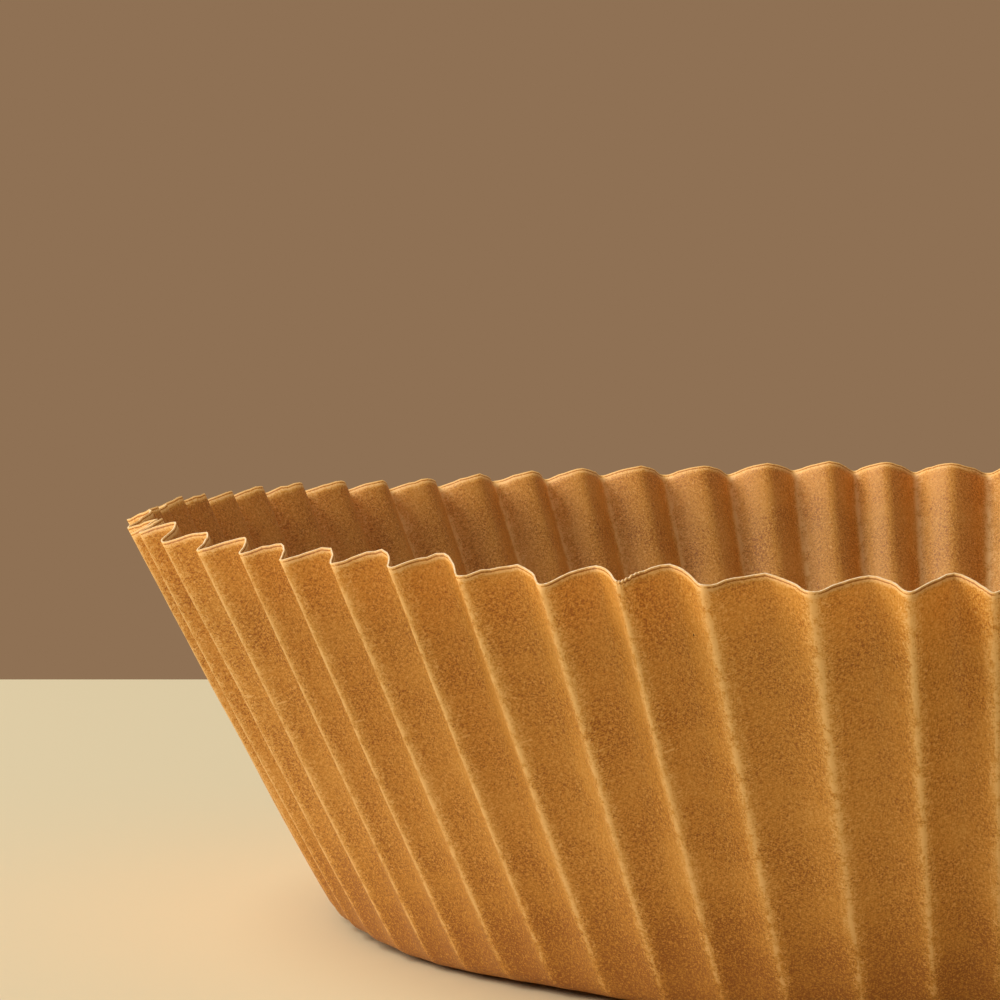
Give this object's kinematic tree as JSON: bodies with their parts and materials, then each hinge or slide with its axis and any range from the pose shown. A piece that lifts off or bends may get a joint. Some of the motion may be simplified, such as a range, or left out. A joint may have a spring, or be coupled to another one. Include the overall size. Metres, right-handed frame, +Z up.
{
  "type": "air fryer paper liner",
  "caption": "Round fluted liner pressed from one disc of brown greaseproof paper, with a flat base and a flared, pleated wall, for holding food in a cooking basket.",
  "frame": {"origin": "centre of the flat base's underside, where the liner rests", "axes": "+Z up, out of the open mouth; the liner is round about Z, with a ridge of the wall on +X"},
  "size_m": [0.2002, 0.2002, 0.0446],
  "materials": {
    "paper": "matte, faintly glossy greaseproof"
  },
  "bodies": {
    "root": {"liner": "paper"}
  },
  "joints": []
}
